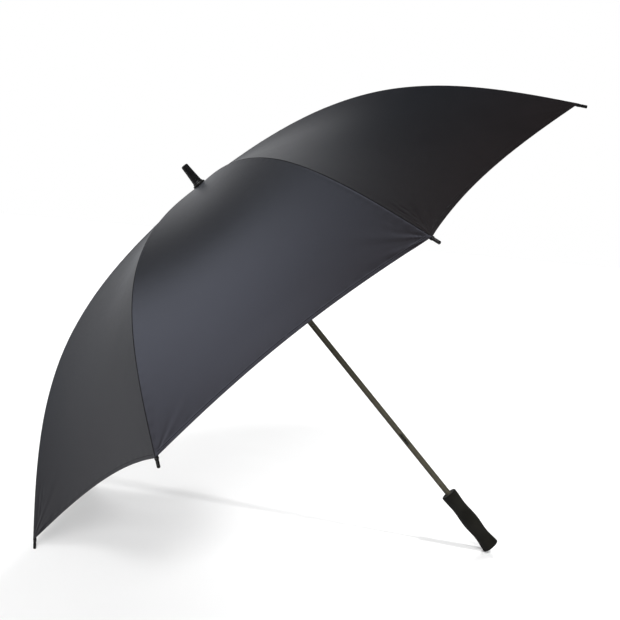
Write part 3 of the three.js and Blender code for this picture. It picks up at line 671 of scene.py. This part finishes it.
for k in range(1, RIBS + 1):
    inner = cloth_sector(f"canopy_inner_{k}", k, inner_arcs / CANOPY_ARC, COLUMNS, inner_depth)
    outer = cloth_sector(f"canopy_outer_{k}", k, outer_shares, COLUMNS)
    stitches = stitch_row(f"hem_stitches_{k}", k)
    pocket = tip_pocket(f"tip_pocket_{k}", k)
    inner_seam = seam_cord(f"seam_inner_{k}", k, 16, JOINT_ARC - 1)
    outer_seam = seam_cord(f"seam_outer_{k}", k, JOINT_ARC + 1, CANOPY_ARC - 3)
    riding = [(inner, "inner"), (inner_seam, "inner"), (outer, "outer"), (outer_seam, "outer")]
    for piece, body in riding + [(stitches, "outer"), (pocket, "outer")]:
        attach(piece, f"rib_{body}_{k}")
    for piece, keep in ((inner, KEEP_INNER), (outer, KEEP), (stitches, KEEP)):
        squash_to_rib(piece)
    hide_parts(f"canopy_panel_{k}")

# ---- rib tips -------------------------------------------------------------------------------------

SPIGOT_HOLE_R, SPIGOT_HOLE = 1.5, 5.8  # the hole for the rib's thinner end, and its depth
tip_profile = [(0, TIP_START + SPIGOT_HOLE), *rounded([
    (SPIGOT_HOLE_R, TIP_START + SPIGOT_HOLE),
    (SPIGOT_HOLE_R, TIP_START),
    (TIP_R - 0.15, TIP_START, 0.2),
    (TIP_R, TIP_START + 0.8, 0.3),
    (TIP_R, 3.4, 0.3),
    (TIP_R - 0.4, 3.9, 0.2),
    (TIP_R - 0.4, 4.7, 0.2),
    (TIP_R - 0.05, 5.2, 0.3),
    (TIP_R - 0.15, TIP_BEYOND - 3.4, 0.5),
    (TIP_R, TIP_BEYOND - 2.6, 0.5),
    (TIP_R - 0.1, TIP_BEYOND - 0.9, 0.7),
    (TIP_R - 1.2, TIP_BEYOND, 0.5),
    (0, TIP_BEYOND),
])]
corner_r, corner_z, corner_droop = (float(x) for x in line_at(CANOPY_ARC))
for k in range(1, RIBS + 1):
    radial, _ = rib_directions(k)
    direction = radial * math.cos(corner_droop) - np.array([0, 0, math.sin(corner_droop)])
    out = radial * math.sin(corner_droop) + np.array([0, 0, math.cos(corner_droop)])
    start = radial * corner_r + np.array([0, 0, corner_z]) - out * RIB_DEPTH
    tip = turned(f"tip_cap_{k}", tip_profile, TIP_LOOK, sides=40, start=start, direction=direction)
    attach(tip, f"rib_outer_{k}")
    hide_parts(f"rib_tip_{k}")

# ---- ferrule and canopy washer --------------------------------------------------------------------

washer_z = CROWN_Z + GAP
washer = turned("canopy_washer", rounded([
    (BORE_R, washer_z),
    (CAP_R - 0.6, washer_z, 0.5),
    (CAP_R, washer_z + 0.9, 0.6),
    (CAP_R - 0.1, washer_z + CAP_HEIGHT - 2.0, 0.9),
    (CAP_R - 1.6, washer_z + CAP_HEIGHT - 0.5, 0.9),
    (FERRULE_R + 0.6, washer_z + CAP_HEIGHT - 0.45, 0.3),
    (FERRULE_R + 0.1, washer_z + CAP_HEIGHT, 0.2),
    (BORE_R, washer_z + CAP_HEIGHT),
    (BORE_R, washer_z),
]), GLOSS_LOOK, sides=128)
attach(washer, "frame")
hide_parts("canopy_cap")

ferrule_z = CROWN_Z + CAP_HEIGHT + 2 * GAP
ferrule = turned("ferrule_cap", [(0, SHAFT_TOP + GAP), *rounded([
    (BORE_R, SHAFT_TOP + GAP),
    (BORE_R, ferrule_z),
    (FERRULE_R - 0.2, ferrule_z, 0.2),
    (FERRULE_R, ferrule_z + 0.5, 0.3),
    (FERRULE_R - 0.15, ferrule_z + 1.7, 0.5),
    (FERRULE_R - 0.95, ferrule_z + 2.3, 0.5),
    (FERRULE_R - 1.25, ferrule_z + 5.4, 1.5),
    (8.4, ferrule_z + 16, 4),
    (7.7, ferrule_z + 29, 4),
    (7.25, LENGTH - 2.6, 1.2),
    (6.7, LENGTH - 0.7, 0.6),
    (5.4, LENGTH, 0.7),
    (2.5, LENGTH),
    (0, LENGTH),
])], GLOSS_LOOK, sides=128)
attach(ferrule, "frame")
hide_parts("ferrule")

# ---- grip -----------------------------------------------------------------------------------------


def grip_radius(share):
    """The grip's radius at a share of its length: two hollows for the hand, between three crests."""
    wave = (1 - np.cos(4 * math.pi * np.clip(share, 0, 1))) / 2
    crest = np.interp(share, [0, 0.5, 1], [GRIP_FLARE_R, GRIP_BULGE_R, GRIP_TOP_R])
    return crest + (GRIP_HOLLOW_R - crest) * wave


bore_end = SHAFT_BOTTOM - 2
grip_profile = [(0, bore_end), (0, 0), (GRIP_FLAT_R, 0)]
flare = float(grip_radius(0))
for t in np.linspace(0.25, 1, 4):
    grip_profile.append((GRIP_FLAT_R + (flare - GRIP_EDGE - GRIP_FLAT_R) * t, GRIP_CROWN * t * t))
for t in np.linspace(0.15, 1, 7) * math.pi / 2:
    grip_profile.append((
        flare - GRIP_EDGE + GRIP_EDGE * math.sin(t), GRIP_CROWN + GRIP_EDGE * (1 - math.cos(t))
    ))
for s in np.linspace(0.035, 0.975, 72):
    grip_profile.append((float(grip_radius(s)), s * GRIP_LENGTH))
for t in np.linspace(0.1, 1, 7) * math.pi / 2:
    grip_profile.append((
        float(grip_radius(1)) - GRIP_EDGE + GRIP_EDGE * math.cos(t),
        GRIP_LENGTH - GRIP_EDGE * (1 - math.sin(t)),
    ))
grip_profile += [
    (BORE_R + 1.0, GRIP_LENGTH),
    (BORE_R + 0.25, GRIP_LENGTH - 0.3),
    (BORE_R, GRIP_LENGTH - 1.1),
    (BORE_R, bore_end),
    (0, bore_end),
]
grip = turned("foam_grip", grip_profile, FOAM_LOOK, sides=144, sharp=50)
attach(grip, "frame")
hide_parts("grip")

# ---- the CAD nodes that stay ----------------------------------------------------------------------

STEEL_NODES = ("shaft", "stretcher")
FIBRE_NODES = ("rib_inner", "rib_outer")
SPRING_NODES = ("crown_ring", "runner_ring", "stop_pin", "top_spring", "bottom_spring")
for name, node in frame["nodes"].items():
    stem = name.rstrip("0123456789").rstrip("_")
    if stem in STEEL_NODES:
        look = ENAMEL_LOOK
    elif stem in FIBRE_NODES:
        look = FIBRE_LOOK
    elif stem in SPRING_NODES:
        look = SPRING_LOOK
    else:
        look = MOULDED_LOOK
    node.data.materials.clear()
    node.data.materials.append(look)

# ---- floor, light and camera ----------------------------------------------------------------------

floor_look = Nodes("floor", Roughness=0.7, Specular_IOR_Level=0.2)
floor_place = floor_look.place()
floor_tone = floor_look.noise(floor_place, 3.0)
floor_colour = floor_look.ramp(floor_tone, [(0.3, (0.87, 0.87, 0.87)), (0.7, (0.89, 0.89, 0.89))])
floor_look.link(floor_colour, "Base Color")
REACH = 40.0  # metres from the middle of the floor to its sides
floor_mesh = bpy.data.meshes.new("floor")
floor_mesh.from_pydata(
    [(-REACH, -REACH, 0), (REACH, -REACH, 0), (REACH, REACH, 0), (-REACH, REACH, 0)], [], [(0, 1, 2, 3)]
)
floor = add_object("floor", floor_mesh, floor_look.material)
floor.visible_glossy = False  # the floor is overexposed, and would glare in the cloth


def overhead(name, toward, strength, spread, shadows=True):
    """Even light from a direction, spread over some degrees, which glossy pieces don't mirror."""
    light = bpy.data.lights.new(name, "SUN")
    light.energy, light.angle, light.use_shadow = strength, math.radians(spread), shadows
    lamp = bpy.data.objects.new(name, light)
    bpy.context.scene.collection.objects.link(lamp)
    lamp.rotation_euler = Vector(toward).to_track_quat("Z", "Y").to_euler()
    lamp.visible_glossy = False
    return lamp


# lamps in a row from front to back, so that only the floor close under the cloth is in full shade
STRIP_LIGHT = 0.7  # what each sends straight down, whatever its tilt
for i, tilt in enumerate((-2.4, -1.2, 1.2, 2.4)):
    toward = Vector((0.16, tilt, 1))
    overhead(f"strip_{i + 1}", toward, STRIP_LIGHT * toward.length, 14)
# one small lamp whose light only the shaft and the grip keep off the floor
lamp = overhead("lamp", (0.34, -0.42, 0.88), 1.9, 6)
lamp.light_linking.blocker_collection = bpy.data.collections.new("lamp_blockers")
for blocker in (grip, frame["nodes"]["shaft"]):
    lamp.light_linking.blocker_collection.objects.link(blocker)
# weak light from the open side that softens all shadows
overhead("side_fill", (0.8, -0.45, 0.4), 0.4, 10, shadows=False)

world = bpy.data.worlds.new("studio")
bpy.context.scene.world = world
world.use_nodes = True
sky = world.node_tree


def sky_node(kind, links=None, **settings):
    """A node of the studio's surroundings: _1=x sets input 1 to x, and other settings go by name."""
    node = sky.nodes.new(kind)
    for key, value in settings.items():
        if key.startswith("_"):
            node.inputs[int(key[1:])].default_value = value
        else:
            setattr(node, key, value)
    for key, source in (links or {}).items():
        sky.links.new(source, node.inputs[key])
    return node


def sky_span(source, start, end, low, high):
    """A smooth step from low to high as the source goes from start to end."""
    node = sky_node("ShaderNodeMapRange", {"Value": source}, interpolation_type="SMOOTHSTEP")
    for key, value in (("From Min", start), ("From Max", end), ("To Min", low), ("To Max", high)):
        node.inputs[key].default_value = value
    return node.outputs["Result"]


def sky_lobe(toward, edge, strength):
    """A broad panel of light centred in a direction, fading out to the given cosine."""
    centre = Vector(toward).normalized()
    aim = sky_node("ShaderNodeVectorMath", {0: around}, operation="DOT_PRODUCT", _1=centre)
    return sky_span(aim.outputs["Value"], edge, 1.0, 0.0, strength)


def sky_choice(choice, no, yes):
    """One of two strengths, each a number or a socket, by whether the choice is 0 or 1."""
    node = sky_node("ShaderNodeMix", {0: choice})
    for socket, value in ((node.inputs[2], no), (node.inputs[3], yes)):
        if hasattr(value, "is_output"):
            sky.links.new(value, socket)
        else:
            socket.default_value = value
    return node.outputs[0]


# what glossy pieces mirror: dim walls, lighter on the left and at the back, a broad panel high on the
# left, and weaker glows at the back and, for the underside of the cloth, from below on the right
around = sky_node("ShaderNodeTexCoord").outputs["Generated"]
direction = sky_node("ShaderNodeSeparateXYZ", {0: around}).outputs
from_left = sky_span(direction["X"], -0.85, -0.45, 0.5, 0.06)
from_back = sky_span(direction["Y"], -0.2, 0.35, 0.3, 1.0)
mirrored = sky_node("ShaderNodeMath", {0: from_left, 1: from_back}, operation="MULTIPLY").outputs[0]
panel = sky_lobe((-0.6, -0.12, 0.79), 0.88, 2.5)
behind = sky_lobe((-0.2, 0.94, 0.26), 0.8, 0.42)
below = sky_lobe((0.6, -0.2, -0.77), 0.1, 0.4)
for lobe in (panel, behind, below):
    mirrored = sky_node("ShaderNodeMath", {0: mirrored, 1: lobe}, operation="ADD").outputs[0]
# the camera sees plain white behind the object, and dull pieces get a little light from all round
AMBIENT, BACKDROP = 0.1, 1.0
rays = sky_node("ShaderNodeLightPath").outputs
strength = sky_choice(rays["Is Glossy Ray"], AMBIENT, mirrored)
strength = sky_choice(rays["Is Camera Ray"], strength, BACKDROP)
sky.links.new(strength, sky.nodes["Background"].inputs["Strength"])
sky.nodes["Background"].inputs["Color"].default_value = (1, 1, 1, 1)

CAMERA_AT = Vector((0.0455, -2.1742, 0.6143))
YAW, PITCH, ROLL = 0.017, 0.0758, 0.0884  # radians: to the left, down, and with the right side up
SENSOR, LENS = 36, 64.26  # mm

camera_data = bpy.data.cameras.new("camera")
camera = bpy.data.objects.new("camera", camera_data)
bpy.context.scene.collection.objects.link(camera)
bpy.context.scene.camera = camera
camera_data.sensor_width = SENSOR
camera_data.lens = LENS
forward = Vector((-math.sin(YAW) * math.cos(PITCH), math.cos(YAW) * math.cos(PITCH), -math.sin(PITCH)))
right = forward.cross(Vector((0, 0, 1))).normalized()
above = right.cross(forward)
rolled_right = right * math.cos(ROLL) + above * math.sin(ROLL)
rolled_above = above * math.cos(ROLL) - right * math.sin(ROLL)
camera.matrix_world = Matrix.LocRotScale(
    CAMERA_AT, Matrix((rolled_right, rolled_above, -forward)).transposed().to_quaternion(), None
)
bpy.context.scene.view_settings.view_transform = "Standard"
